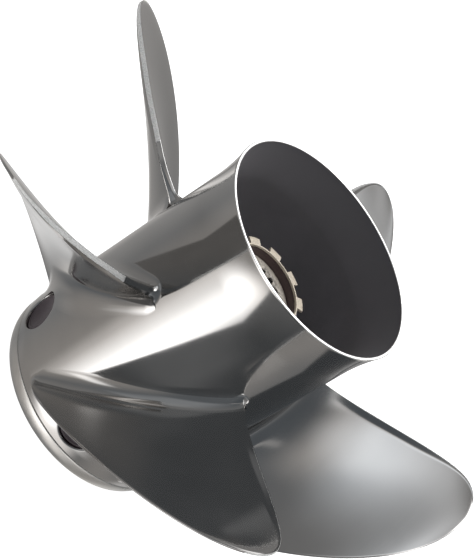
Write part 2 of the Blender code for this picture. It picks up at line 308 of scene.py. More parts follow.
steel = {
    "colour": (0.50, 0.49, 0.48),
    "colourChange": 0.04,  # darker and lighter in patches
    "patchScale": 0.03,
    "gloss": 0.11,  # roughness of the polish
    "waveSize": 30.0,  # of the slow waves that the polishing belt leaves
    "waveDepth": 0.006,
    "alongBelt": 0.03,  # scale of the belt's fine marks along its way
    "acrossBelt": 1.6,  # and across it
    "markDepth": 0.0003,
    "edgeColour": (0.74, 0.735, 0.72),  # of the blasted band on the trailing edges
    "edgeChange": 0.2,
    "edgeGloss": 0.6,
    "edgeMetal": 0.4,
    "edgeGrain": 0.08,  # depth of its grain
    "edgeWander": 0.02,  # raggedness of its start, as a share of the blade's span
}


def polishedSteel(name, kept, banded=False):
    # Polished casting. Its fine marks are noise drawn out along the belt's way, which keeps the height
    # on the hub and the distance from the shaft on a blade. Colour and roughness follow a broad noise
    # and a little of the marks.
    paint = Finish(name, {"Metallic": 1.0})
    at = paint.place()
    x, y, z = paint.parts(at)
    even = z if kept == "height" else (x * x + y * y).math("SQRT")
    along = steel["alongBelt"]
    drawnOut = paint.add("ShaderNodeCombineXYZ", {}, [x * along, y * along, even * steel["acrossBelt"]])
    marks = paint.noise(drawnOut, 1.0, detail=3.0, roughness=0.6)
    wave = paint.noise(at, 1.0 / steel["waveSize"], detail=1.0, roughness=0.4)
    patch = paint.noise(at, steel["patchScale"])
    share = paint.spread(patch * 0.8 + marks * 0.2, 0.35, 0.65)
    tone = mottled(paint, share, steel["colour"], steel["colourChange"])
    gloss = steel["gloss"]
    rough = paint.spread(patch, 0.3, 0.7, gloss - 0.015, gloss + 0.02) + (marks - 0.5) * 0.02
    height = wave * steel["waveDepth"] + marks * steel["markDepth"]
    if not banded:
        return paint.feed(tone, rough, height)
    # The band is whole where the point is on the trailing edge and past the band's start.
    onEdge = paint.spread(paint.value("chordwise"), 0.99975, 0.99999)
    ragged = paint.value("pastStart") + (paint.noise(at, 0.9) - 0.5) * steel["edgeWander"]
    blasted = onEdge * paint.spread(ragged, -0.004, 0.004)
    grain = paint.noise(at, 1.6, detail=4.0, roughness=0.7)
    edgeTone = mottled(paint, paint.spread(grain, 0.38, 0.62), steel["edgeColour"], steel["edgeChange"])
    return paint.feed(
        paint.mix(blasted, tone, edgeTone),
        rough + blasted * (steel["edgeGloss"] - rough),
        height + blasted * grain * steel["edgeGrain"],
        1.0 - blasted * (1.0 - steel["edgeMetal"]),
    )


lathe = {
    "gloss": 0.3,
    "rings": 16.0,  # of the tool marks, in radians per millimetre
    "slant": 0.8,  # weight of the height beside the distance
    "wobble": 3.0,  # how far the rings wander, in radians
    "ringDepth": 0.0012,
    "patchDepth": 0.004,
}


def turnedSteel(name, colour):
    # Lathe-turned face: rings at even distances from the shaft, as a sine of that distance plus noise,
    # and patches from a broad noise in colour, roughness and relief.
    paint = Finish(name, {"Metallic": 1.0})
    at = paint.place()
    distance, z = paint.fromShaft(at)
    away = distance + z * lathe["slant"]
    rings = (away * lathe["rings"] + paint.noise(at, 0.4) * lathe["wobble"]).math("SINE")
    patch = paint.noise(at, 0.12, detail=3.0)
    tone = paint.mix(paint.spread(patch, 0.3, 0.7), shaded(colour, 0.94), shaded(colour, 1.04))
    rough = paint.spread(patch, 0.3, 0.7, lathe["gloss"] - 0.03, lathe["gloss"] + 0.04)
    return paint.feed(tone, rough, rings * lathe["ringDepth"] + patch * lathe["patchDepth"])


casting = {
    "colour": (0.335, 0.32, 0.335),
    "gloss": 0.75,
    "specular": 0.25,
    "mouthShade": 0.42,  # share of the colour left at the hub's mouth, as painted shade
    "darkens": (100.0, 172.0),  # heights between which it darkens to that
    "grainDepth": 0.03,
}


def darkCasting(name):
    # As-cast and darkened inside: a cloudy stain from one noise, painted shade that makes it darker in a
    # straight line of the height towards the mouth, where more light falls in, and the sand's grain from a
    # finer noise as a relief.
    paint = Finish(name, {"Metallic": 0.0, "Specular IOR Level": casting["specular"]})
    at = paint.place()
    height = paint.parts(at)[2]
    blotches = paint.noise(at, 0.05, detail=3.0, roughness=0.55)
    grain = paint.noise(at, 1.5, detail=3.0, roughness=0.6)
    tone = mottled(paint, paint.spread(blotches, 0.3, 0.7), casting["colour"], 0.08)
    # painted shade: the colour darkens towards the hub's mouth
    mouthShadeTone = shaded(casting["colour"], casting["mouthShade"])
    tone = paint.mix(paint.spread(height, *casting["darkens"]), tone, mouthShadeTone)
    rough = paint.spread(blotches, 0.3, 0.7, casting["gloss"] - 0.04, casting["gloss"] + 0.05)
    return paint.feed(tone, rough, grain * casting["grainDepth"])


def speckled(name, look):
    # Two sizes of noise as light and dark specks, the finer one also as a relief. A look with a bore gets
    # painted shade below the bore's top, and is darker round its mouth, in blots that thin out between two
    # radii.
    paint = Finish(name, {"Metallic": 0.0})
    colour, gloss, size = look["colour"], look["gloss"], look["speck"]
    at = paint.place()
    fine = paint.noise(at, 1.0 / size, detail=3.0, roughness=0.65)
    broad = paint.noise(at, 0.15 / size)
    tone = mottled(paint, paint.spread(fine * 0.7 + broad * 0.3, 0.32, 0.68), colour, look["contrast"])
    if "boreTop" in look:
        distance, height = paint.fromShaft(at)
        blots = paint.noise(at, 0.7, detail=3.0, roughness=0.6, distortion=1.0)
        blotches = paint.spread(distance, *look["blotRadii"], 0.85, 0.0) * paint.spread(blots, 0.44, 0.54)
        # painted shade: a near-black copy of the colour, for the bore below its top and for the blots round
        # its mouth
        shadeAndBlotDark = shaded(colour, 0.08)
        above = paint.spread(height, look["boreTop"] - 0.8, look["boreTop"])
        tone = paint.mix(above, shadeAndBlotDark, paint.mix(blotches, tone, shadeAndBlotDark))
    rough = paint.spread(fine, 0.3, 0.7, gloss + 0.05, gloss - 0.05)
    return paint.feed(tone, rough, fine * look["depth"])


# Hub casting: outer tube, flared rear end and rim

hub = {
    "length": 171.8 * mm,
    "bore": 54.5 * mm,
    "radius": 59.3 * mm,
    "startRadius": 58.5 * mm,  # at the front
    "rise": (6.5 * mm, 17.0 * mm),  # heights between which it eases up to the full radius
    "grooveHeight": 10.5 * mm,
    "grooveDepth": 0.8 * mm,
    "grooveLip": 0.65 * mm,  # height over the groove at which its lip meets the wall
    "lipRound": 0.5 * mm,
    "frontRadius": 58.75 * mm,  # just behind the groove
    "flareStart": 146.0 * mm,
    "boreCurve": 1.4,  # power by which the bore opens to the rim
    "rimRadius": 62.4 * mm,
    "rimWall": 1.6 * mm,
    "rimEdge": 0.45 * mm,
    # near white and lighter than the same steel on the barrel: turned steel with a painted highlight along
    # the rim
    "rimHighlightColour": (0.95, 0.94, 0.92),
}
vent = {
    "radius": 11.5 * mm,
    "height": 26.9 * mm,
    "angle": math.radians(-149.9),  # of the first one
    "lip": 0.7 * mm,  # rounding of the hole's edge
    "wallRing": 2.2 * mm,  # depth of the ring of points below that lip
    "square": 15.5 * mm,  # half side of the patch round the hole
    "columns": 24,
    "sideColumns": 14,
    "patchRings": 8,
    "rodPlay": 0.02 * mm,  # by which the drilling rod is wider than the hole
    "rodSpan": (48.0 * mm, 80.0 * mm),  # its ends, as distances from the shaft
}


def flareShare(height):
    # share of the way from the start of the flare to the rim
    return np.clip((height - hub["flareStart"]) / (hub["length"] - hub["flareStart"]), 0.0, 1.0)


def hubRadius(height):
    # eases up to the full radius behind the groove, and opens as the square of the way to the rim
    rise = smoothStep(*hub["rise"], height)
    barrel = hub["startRadius"] + (hub["radius"] - hub["startRadius"]) * rise
    return barrel + (hub["rimRadius"] - hub["radius"]) * flareShare(height) ** 2


def hubBore(height):
    # straight, then opening by a power of the way to the rim
    wide = hub["rimRadius"] - hub["rimWall"]
    return hub["bore"] + (wide - hub["bore"]) * flareShare(height) ** hub["boreCurve"]


def sectorAngles():
    # column angles of one fifth of the turn, about the vent's own angle, even within each stretch
    half = math.pi / bladeCount
    square = vent["square"] / hub["radius"]
    left = np.linspace(-half, -square, vent["sideColumns"] + 1)
    middle = np.linspace(-square, square, vent["columns"] + 1)
    return joinRuns(left, middle, -left[::-1])


def patchEdge():
    # points along the sides of the square round a hole, and their directions from its middle
    square = vent["square"]
    side = np.linspace(-square, square, vent["columns"] + 1)
    low = np.full(len(side), -square)
    edge = np.concatenate([
        np.stack([side, low], 1)[:-1],
        np.stack([-low, side], 1)[:-1],
        np.stack([side[::-1], -low], 1)[:-1],
        np.stack([low, side[::-1]], 1),
    ])
    return edge, np.arctan2(edge[:, 1], edge[:, 0])


def ventPatch(radiusOf, holeRadius):
    # Rings from the hole's circle out to the square, at even shares of the way in angle and height
    # between their points in the same direction, on the wall's own radius.
    edge, direction = patchEdge()
    share = np.linspace(0.0, 1.0, vent["patchRings"] + 1)[:, None]
    holeHeight = vent["height"] + np.sin(direction) * holeRadius
    holeAngle = np.arcsin(np.cos(direction) * holeRadius / radiusOf(holeHeight))
    angle = holeAngle * (1 - share) + edge[:, 0] / hub["radius"] * share
    height = holeHeight * (1 - share) + (vent["height"] + edge[:, 1]) * share
    return aboutShaft(radiusOf(height), angle, height)


def ventWall():
    # the hole's rounded lip and its wall down to the bore, square to the barrel
    direction = patchEdge()[1]
    lip = vent["lip"]
    bend = np.radians(np.linspace(0, 90, 6))
    wider = np.append(lip * (1 - np.sin(bend)), 0.0)[:, None]
    deeper = np.append(lip * (1 - np.cos(bend)), vent["wallRing"])[:, None]
    across = np.cos(direction) * (vent["radius"] + wider)
    height = vent["height"] + np.sin(direction) * (vent["radius"] + wider)
    outer = hubRadius(height)
    wall = aboutShaft(outer - deeper, np.arcsin(across / outer), height)
    inner = hubBore(height[-1:])
    foot = aboutShaft(inner, np.arcsin(across[-1:] / inner), height[-1:])
    return np.concatenate([wall, foot])


def laidOutwards(grid, angle):
    # points drawn about Z, laid on the line outwards through a vent, with x round the barrel and y along it
    x, y, z = grid[..., 0], grid[..., 1], grid[..., 2]
    c, s = math.cos(angle), math.sin(angle)
    return np.stack([z * c - x * s, z * s + x * c, vent["height"] + y], -1)


def ventRod(angle):
    # a round rod through a vent, which drills the foot of the blade beside it
    r = vent["radius"] + vent["rodPlay"]
    near, far = vent["rodSpan"]
    rod = turnedGrid([[0.0, near], [r, near], [r, far], [0.0, far]], np.linspace(0, turn, 97))
    return addObject("vent_rod", meshFromGrids("vent_rod", [(laidOutwards(rod, angle), None)]))


def wallProfile(radiusOf, *heights):
    # a wall's radius and height along runs of heights
    z = joinRuns(*heights)
    return np.stack([radiusOf(z), z], 1)


def buildHub(steelLook, dark, bright):
    # outer wall, rim, bore and front end as turned grids, with a square patch round each vent
    sector = sectorAngles()
    fine = np.concatenate([vent["angle"] + fifth(k) + sector[:-1] for k in range(bladeCount)])
    angles = np.append(fine, fine[0] + turn)
    low = vent["height"] - vent["square"]
    high = vent["height"] + vent["square"]
    front = hub["grooveHeight"] + play
    grooveFloor = hub["frontRadius"] - hub["grooveDepth"]
    lipTop = hub["grooveHeight"] + hub["grooveLip"]
    lip = hub["lipRound"]
    flare = hub["flareStart"]
    edge = hub["rimEdge"]
    rimFoot = hub["length"] - edge
    walls = [(hubRadius, vent["radius"] + vent["lip"], steelLook), (hubBore, vent["radius"], dark)]
    profiles = [
        (steelLook, joinRuns(
            [[grooveFloor, front]],
            arcRun((hubRadius(lipTop) - lip, lipTop), lip, -90, 0),
            wallProfile(hubRadius, np.linspace(lipTop, low, 6)),
        )),
        (steelLook, wallProfile(hubRadius, np.linspace(high, flare, 50), np.linspace(flare, rimFoot, 26))),
        (dark, wallProfile(hubBore, np.linspace(rimFoot, flare, 20), np.linspace(flare, high, 12))),
        (dark, wallProfile(hubBore, np.linspace(low, front, 3))),
        (dark, [[hub["bore"], front], [grooveFloor, front]]),
        # the rim, whose near-white colour is partly a painted highlight
        (bright, joinRuns(
            arcRun((hubRadius(rimFoot) - edge, rimFoot), edge, 0, 90),
            arcRun((hubBore(rimFoot) + edge, rimFoot), edge, 90, 180),
        )),
    ]
    grids = [(turnedGrid(profile, angles), look) for look, profile in profiles]
    count = vent["sideColumns"] + 1
    beside = np.linspace(low, high, vent["columns"] + 1)
    patches = [(ventWall(), steelLook)]
    for radiusOf, holeRadius, look in walls:
        patches.append((ventPatch(radiusOf, holeRadius), look))
        for columns in (sector[:count], sector[-count:]):
            patches.append((turnedGrid(wallProfile(radiusOf, beside), columns), look))
    for k in range(bladeCount):
        grids += [(rotated(patch, vent["angle"] + fifth(k)), look) for patch, look in patches]
    addSkin("hub_casting", grids, "barrel_steel", "hub_barrel", "diffuser_ring")


# Front band

band = {
    "edgeRadius": 54.1 * mm,  # of the flat front face
    "bore": 50.0 * mm,
    "round": 0.5 * mm,
    "lipDrop": 0.6 * mm,  # from the groove to where its lip begins
    "colour": (0.66, 0.645, 0.62),
}


def buildFrontBand(bright):
    # quarter ellipse from the front face out to the groove, then the bore
    soft = band["round"]
    rear = hub["grooveHeight"] - play
    outer = hub["frontRadius"] - play
    lipStart = hub["grooveHeight"] - band["lipDrop"]
    a = np.radians(np.linspace(0, 90, 25))
    radius = band["edgeRadius"] + (outer - band["edgeRadius"]) * np.sin(a)
    side = np.stack([radius, lipStart * (1 - np.cos(a))], 1)
    profile = joinRuns(
        side,
        arcRun((outer - soft, lipStart), soft, 0, 90),
        [[hub["frontRadius"] - hub["grooveDepth"], rear], [band["bore"], rear]],
        arcRun((band["bore"] + soft, soft), soft, 180, 270),
        side[:1],
    )
    grid = turnedGrid(profile, np.linspace(0, turn, 241))
    addSkin("front_band", [(grid, bright)], "ring_steel", "front_ring")


# Blades. Along a blade s runs from 0 at the root to 1 at the tip, u from 0 at the leading edge to 1 at
# the trailing edge, and q from 0 on the pressure face to 1 on the back.

blade = {
    "pitch": 501.7 * mm,
    "tipRadius": 168.3 * mm,
    "rootRadius": 59.0 * mm,
    "innerRadii": (57.3 * mm, 59.2 * mm),  # of its first rows, inside the barrel's wall
    "angle": math.radians(-77.3),
    "height": 65.2 * mm,
    "rootChord": 113.5 * mm,
    # factors of s, of s squared and so on: growth of the chord, rake and skew
    "chordCurve": (17.9 * mm, -46.7 * mm, -43.6 * mm),
    "rakeCurve": (11.9 * mm, 37.1 * mm, -12.9 * mm),
    "skewCurve": (22.3 * mm, 48.2 * mm),
    "tipRound": 21,  # power of s that rounds the chord off at the tip
    "tipThin": 10,  # and that brings the section to its shape at the tip
    # thickness in mid span, and what the root and the tip add
    "leadEdge": (0.9 * mm, 1.4 * mm, 0.4 * mm),
    "trailEdge": (2.9 * mm, 2.2 * mm, -1.6 * mm),
    "swell": (3.1 * mm, 4.8 * mm),  # of the section's middle, and what the root adds
    "faceCrown": 0.018,  # rise of the pressure face's middle, over the chord
    "leadWidth": 1.4 * mm,  # of the flat ground on the pressure face at the leading edge
    "leadEase": 0.4 * mm,
    "leadDrop": 0.2 * mm,
    "leadStarts": (0.1, 0.3),  # s over which that flat begins
    "fillet": 13.5 * mm,
    "faceFillet": 9.5 * mm,  # on the pressure face, in the middle of the chord
    "headFillet": 7.0 * mm,  # at the leading edge
    "tailFillet": 7.5 * mm,  # and at the trailing edge
    "endFillet": 4.0 * mm,
    "backTail": 8.0 * mm,  # on the back near the trailing edge
    "backShrinks": (0.5, 0.85),  # u over which it shrinks to that
    "footRound": 5.0 * mm,  # stretch over which the fillets turn round the section's ends
    "footCorner": 0.3,  # share of the end's fillet at the section's corners
    "footLess": 0.35,  # share that the other fillets lose there
    "cornerRound": 0.45 * mm,
    "facetTop": 0.28,  # s up to which the trailing edge's forward corner is ground off
    "facetShare": 0.7,  # of the edge's thickness that the facet takes at the foot
    "facetSlope": 0.45,
    "cupRise": 1.15 * mm,  # how far the trailing edge bends towards the pressure side
    "cupWidth": 4.5 * mm,
    "cupEase": 1.5 * mm,  # stretch over which the bend begins
    "cupStarts": (0.15, 0.4),  # s over which the cup begins, narrows and ends
    "cupNarrows": (0.6, 0.92),
    "cupEnds": (0.9, 1.0),
    "cupTip": 0.3,  # share of its width that the cup keeps at the tip
    "bandStarts": (0.29, 0.28, 0.29, 0.31, 0.245),  # s at which each blade's blasted band begins
    "chordPoints": 72,
    # places of q across the edges, closer at the corners
    "edgePoints": (0, 0.02, 0.06, 0.12, 0.2, 0.3, 0.4, 0.5, 0.62, 0.72, 0.8, 0.86, 0.91, 0.95, 0.98, 1),
    "filletRows": 17,
    "bodyRows": 41,
    "tipRows": 26,
    "tipStart": 0.8,  # s from which the rows draw together
    "lastTurn": math.radians(88.5),  # of the rows' turn round the tip
}


def radiusAt(s):
    return blade["rootRadius"] + s * (blade["tipRadius"] - blade["rootRadius"])


def bladeSpan(radius):
    return np.clip((radius - blade["rootRadius"]) / (blade["tipRadius"] - blade["rootRadius"]), 0.0, 1.0)


def bladeChord(s):
    # narrows by a cubic in s, rounded off at the tip
    width = blade["rootChord"] + powerSum(blade["chordCurve"], s)
    return width * np.sqrt(np.maximum(1.0 - s ** blade["tipRound"], 0.0))


def bladeThickness(s, u):
    # straight from the leading to the trailing edge, plus a swell that is half a sine wave of u to the
    # power 1.3, so thickest behind the middle. The root's part falls off by powers of 1 - s.
    root = 1.0 - s
    tip = s ** blade["tipThin"]
    lead, trail = (
        middle + more * root**6 + end * tip
        for middle, more, end in (blade["leadEdge"], blade["trailEdge"])
    )
    swell = (blade["swell"][0] + blade["swell"][1] * root**1.2) * (1.0 - tip)
    return lead + (trail - lead) * u + swell * np.sin(math.pi * u**1.3)


def bladePoint(radius, chordwise, offFace):
    # a helicoid: the chord climbs at the pitch angle, and the point's angle is its arc over the radius
    slope = np.arctan(blade["pitch"] / (turn * radius))
    across = chordwise * np.cos(slope) - offFace * np.sin(slope)
    climb = chordwise * np.sin(slope) + offFace * np.cos(slope)
    rake = powerSum(blade["rakeCurve"], bladeSpan(radius))
    return aboutShaft(radius, blade["angle"] + across / radius, blade["height"] + rake + climb)


def filletRadius(u, q):
    # Full in the middle of the chord. The pressure face's fillet shrinks a little towards both edges,
    # and the back's is small at both and shrinks well before the trailing edge.
    ends = np.abs(2 * u - 1) ** 3
    atEnd = np.where(u > 0.5, blade["tailFillet"], blade["headFillet"])
    face = blade["faceFillet"] + (atEnd - blade["faceFillet"]) * ends
    least = np.where(u > 0.5, blade["backTail"], blade["endFillet"])
    full = (1 - ends) * (1 - smoothStep(*blade["backShrinks"], u))
    back = least + (blade["fillet"] - least) * full
    return face + (back - face) * smoothStep(0, 1, q)


def footSpread(u, q, chord):
    # How far the fillet spreads at the barrel, along the chord and square to it. It turns round the
    # section's ends: a share of the end's fillet at the corners, and a parabola to all of it between them.
    near = np.clip(1 - np.minimum(u, 1 - u) * chord / blade["footRound"], 0.0, 1.0) ** 2
    onFace = (q <= 0.0) | (q >= 1.0)
    corner = blade["footCorner"]
    along = blade["endFillet"] * np.where(onFace, corner * near, 1 - (1 - corner) * (1 - 2 * q) ** 2)
    square = filletRadius(u, 0.0) * (1 - q) - filletRadius(u, 1.0) * q
    square = square * (1 - blade["footLess"] * np.where(onFace, near, 1.0))
    return np.sign(2 * u - 1) * along, square


def trailingInset(s, q, thick):
    # how far the trailing edge's surface falls back from flat: rounded corners, and the facet at the foot
    share = blade["facetShare"] * np.clip(1 - s / blade["facetTop"], 0.0, 1.0)
    facet = np.maximum(q - 1 + share, 0.0) * thick * blade["facetSlope"]
    corner = blade["cornerRound"]
    return roundOff(q * thick, corner) + roundOff((1 - q) * thick, corner) + facet


def edgeBend(fromEdge, width, ease):
    # share of an edge's bend at this distance from the edge: a parabola at first, then straight up to 1
    inside = np.clip(width - fromEdge, 0.0, width)
    bent = np.minimum(inside, ease) ** 2 / (2 * ease) + np.maximum(inside - ease, 0.0)
    return bent / (width - ease / 2)


def bladeSection(radius, flare, u, q):
    # The chord's middle follows the skew. Off the helicoid stand the crown of the pressure face, a parabola
    # of u, the ground leading edge, the cup and the thickness, and the fillet widens it all by flare.
    s = bladeSpan(radius)
    chord = bladeChord(s)
    thick = bladeThickness(s, u)
    crown = blade["faceCrown"] * chord * 4 * u * (1 - u)
    ground = edgeBend(u * chord, blade["leadWidth"], blade["leadEase"]) * smoothStep(*blade["leadStarts"], s)
    face = crown - blade["leadDrop"] * ground * (1 - q)
    kept = 1 - (1 - blade["cupTip"]) * smoothStep(*blade["cupNarrows"], s)
    bend = edgeBend((1 - u) * chord / kept, blade["cupWidth"], blade["cupEase"])
    present = smoothStep(*blade["cupStarts"], s) * (1 - smoothStep(*blade["cupEnds"], s))
    cup = blade["cupRise"] * kept * bend * present
    nose = 0.5 * thick * np.sqrt(np.maximum(1.0 - (2 * q - 1) ** 2, 0.0))
    ends = np.where(u >= 1.0, -trailingInset(s, q, thick), 0.0) + np.where(u <= 0.0, -nose, 0.0)
    along, square = footSpread(u, q, chord)
    place = powerSum(blade["skewCurve"], s) + (u - 0.5) * chord + along * flare + ends
    return bladePoint(radius, place, face + cup - q * thick + square * flare)


def bladeGrids():
    # Rows round the section: inside the barrel, up the fillet's quarter circle, along the body, and closer
    # and closer to the tip, where s to the power tipThin is the sine of even steps. Then both ends.
    # Each grid comes with its u and s.
    n = blade["chordPoints"]
    along = 0.5 - 0.5 * np.cos(math.pi * np.arange(n) / (n - 1))
    across = np.array(blade["edgePoints"])
    between = len(across) - 2
    u = np.concatenate([along, np.ones(between), along[::-1], np.zeros(between), along[:1]])
    q = np.concatenate([np.zeros(n), across[1:-1], np.ones(n), across[-2:0:-1], across[:1]])
    rounding = filletRadius(u, q)
    foot = hub["radius"] + rounding
    buried = np.array(blade["innerRadii"])[:, None]
    bend = np.radians(np.linspace(0, 90, blade["filletRows"]))[:, None]
    body = np.linspace(0, 1, blade["bodyRows"])[1:, None]
    firstTurn = math.asin(blade["tipStart"] ** blade["tipThin"])
    closing = np.linspace(firstTurn, blade["lastTurn"], blade["tipRows"])[1:, None]
    radius = np.concatenate([
        buried + 0 * u,
        hub["radius"] + rounding * (1 - np.cos(bend)),
        foot + (radiusAt(blade["tipStart"]) - foot) * body,
        radiusAt(np.sin(closing) ** (1 / blade["tipThin"])) + 0 * u,
    ])
    flare = np.concatenate([1 + 0 * buried, 1 - np.sin(bend), 0 * body, 0 * closing])
    grids = [(bladeSection(radius, flare, u, q), u, bladeSpan(radius))]
    capU = along[:, None] + 0 * across
    capQ = across + 0 * capU
    for row in (0, -1):
        r = radius[row, 0] + 0 * capU
        grids.append((bladeSection(r, flare[row], capU, capQ), capU, bladeSpan(r)))
    return grids


def buildBlades(steelLook):
    for k in range(bladeCount):
        grids = []
        for points, u, s in bladeGrids():
            values = {"chordwise": u, "pastStart": s - blade["bandStarts"][k]}
            grids.append((rotated(points, fifth(k)), steelLook, values))
        rod = ventRod(vent["angle"] + fifth(k + 1))
        addSkin(f"blade_skin_{k + 1}", grids, "blade_steel", f"blade_{k + 1}", rod=rod)


# Vent plugs

plug = {
    "rim": 11.2 * mm,
    "depth": 1.6 * mm,  # of the bead's top below the barrel
    "thickness": 3.0 * mm,
    "dish": 1.3 * mm,
    "dishEdge": 0.25 * mm,  # of the dish's edge below the bead's top
    "bead": 0.9 * mm,  # half width of the raised edge
    "beadHeight": 0.45 * mm,
    "chamfer": 0.4 * mm,
    "look": {"colour": (0.040, 0.029, 0.034), "gloss": 0.35, "speck": 0.8, "contrast": 0.2, "depth": 0.03},
}


def buildPlugs():
    # a parabola's bowl inside a bead of half an ellipse, closed underneath, turned about the vent's line
    plastic = speckled("plug_moulded", plug["look"])
    rim, bead, chamfer = plug["rim"], plug["bead"], plug["chamfer"]
    top = hub["radius"] - plug["depth"]
    under = top - plug["thickness"]
    share = np.linspace(0, 1, 15)
    dish = top - plug["dishEdge"] - plug["dish"] * (1 - share**2)
    half = np.radians(np.linspace(180, 0, 9))
    beadTop = top - plug["beadHeight"] * (1 - np.sin(half))
    profile = joinRuns(
        np.stack([(rim - 2 * bead) * share, dish], 1),
        np.stack([rim - bead + bead * np.cos(half), beadTop], 1),
        [[rim, under + chamfer], [rim - chamfer, under], [0.0, under]],
    )
    grid = turnedGrid(profile, np.linspace(0, turn, 73))
    for k in range(bladeCount):
        outwards = laidOutwards(grid, vent["angle"] + fifth(k))
        addSkin(f"plug_{k + 1}", [(outwards, plastic)], "plug_plastic", f"vent_plug_{k + 1}", sharp=50.0)


# Inner hub and webs

core = {
    "radius": 31.0 * mm,
    "bore": 24.4 * mm,
    "front": 8.0 * mm,
    "rear": 127.0 * mm,
    "round": 1.6 * mm,
    "chamfer": 0.5 * mm,
    "endRow": 20.0 * mm,  # of the rows of points nearest the ends
    "webThick": 5.0 * mm,
    "webEnds": (30.2 * mm, 55.3 * mm),  # as distances from the shaft
    "webHeights": (14.0 * mm, 92.0 * mm),
    "webFillet": 5.0 * mm,
    "webRound": 2.2 * mm,
}


def buildInnerHub(dark, machined):
    # a tube with rounded outer edges, whose front face is machined
    r, bore, soft, chamfer = core["radius"], core["bore"], core["round"], core["chamfer"]
    front, rear = core["front"], core["rear"]
    outside = joinRuns(
        arcRun((r - soft, front + soft), soft, -90, 0),
        [[r, front + core["endRow"]], [r, rear - core["endRow"]]],
        arcRun((r - soft, rear - soft), soft, 0, 90),
        [[bore + chamfer, rear], [bore, rear - chamfer], [bore, front + chamfer]],
    )
    frontFace = [[bore, front + chamfer], [bore + chamfer, front], [r - soft, front]]
    angles = np.linspace(0, turn, 145)
    grids = [(turnedGrid(outside, angles), dark), (turnedGrid(frontFace, angles), machined)]
    addSkin("inner_tube", grids, "dark_casting", "inner_hub")


def buildWebs(dark):
    # a wall that widens in round fillets at both ends, rounded along its front and rear edges
    inner, outer = core["webEnds"]
    r = np.concatenate([
        np.linspace(inner, 37 * mm, 12),
        np.linspace(39 * mm, 47 * mm, 4),
        np.linspace(49 * mm, outer, 12),
    ])
    fillets = roundOff(r - core["radius"], core["webFillet"]) + roundOff(hub["bore"] - r, core["webFillet"])
    half = core["webThick"] / 2 + fillets
    across = np.concatenate([r, r[::-1], r[:1]])
    side = np.concatenate([half, -half[::-1], half[:1]])
    bend = np.radians(np.linspace(0, 90, 8))
    rise = core["webRound"] * (1 - np.sin(bend))
    lost = core["webRound"] * (1 - np.cos(bend))
    low = core["webHeights"][0] + rise[::-1]
    high = core["webHeights"][1] - rise
    z = np.concatenate([low[:1], low, high, high[-1:]])[:, None]
    inset = np.concatenate([[half.max()], lost[::-1], lost, [half.max()]])[:, None]
    width = np.sign(side) * np.maximum(np.abs(side) - inset, 0.0)
    grid = np.stack(np.broadcast_arrays(across, width, z), -1)
    for k in range(bladeCount):
        web = rotated(grid, vent["angle"] + fifth(k + 0.5))
        addSkin(f"web_skin_{k + 1}", [(web, dark)], "dark_casting", f"web_{k + 1}")


# Drive cushion, splined sleeve and toothed ring

cushion = {
    "radius": 24.2 * mm,
    "bore": 18.5 * mm,
    "front": 12.0 * mm,
    "rear": 132.5 * mm,
    "round": 0.5 * mm,
    "recess": 22.0 * mm,
    "recessFloor": 121.7 * mm,
    "look": {"colour": (0.115, 0.078, 0.075), "gloss": 0.45, "speck": 0.8, "contrast": 0.25, "depth": 0.03},
}


def buildCushion():
    # a turned tube with a recess in its rear end, for the sleeve's flange
    plastic = speckled("cushion_moulded", cushion["look"])
    out, bore, soft = cushion["radius"], cushion["bore"], cushion["round"]
    rear, front = cushion["rear"], cushion["front"]
    recess, floor = cushion["recess"], cushion["recessFloor"]
    profile = joinRuns(
        [[bore, front], [out - soft, front], [out, front + soft]],
        arcRun((out - soft, rear - soft), soft, 0, 90),
        arcRun((recess + soft, rear - soft), soft, 90, 180),
        [[recess, floor], [bore, floor], [bore, front]],
    )
    grid = turnedGrid(profile, np.linspace(0, turn, 145))
    addSkin("drive_cushion", [(grid, plastic)], "cushion_plastic", "cushion_sleeve", sharp=50.0)


def softEdge(radius, rear, size, side):
    # Three points of a turned piece's rear edge, rounded by size. Side is 1 on its outside and -1 in a bore.
    return [
        (radius, rear - size),
        (radius - side * 0.3 * size, rear - 0.3 * size),
        (radius - side * size, rear),
    ]


sleeve = {
    "body": 18.2 * mm,
    "flange": 21.7 * mm,
    "flangeGap": 0.2 * mm,  # between the flange and the floor of the recess
    "front": 10.0 * mm,
    "rear": 128.0 * mm,
    "bodyChamfer": 0.6 * mm,
    "flangeRound": 0.5 * mm,
    "splines": 15,
    "lands": 13.8 * mm,
    "grooves": 16.3 * mm,
    "slopes": (0.42, 0.54, 0.88, 1.0),  # of a groove's two sides, as shares of a spline's step
    "mouth": 1.1 * mm,  # by which the lands are cut back at the bore's mouths
    "mouthDepths": (1.2 * mm, 1.3 * mm),  # how far in that begins, at the front and at the rear
    "look": {
        "colour": (0.66, 0.60, 0.52), "gloss": 0.6, "speck": 0.9, "contrast": 0.35, "depth": 0.15,
        # height below which the bore is painted shade, and radii between which the dark blots thin out
        "boreTop": 127.7, "blotRadii": (16.6, 19.6),
    },
}


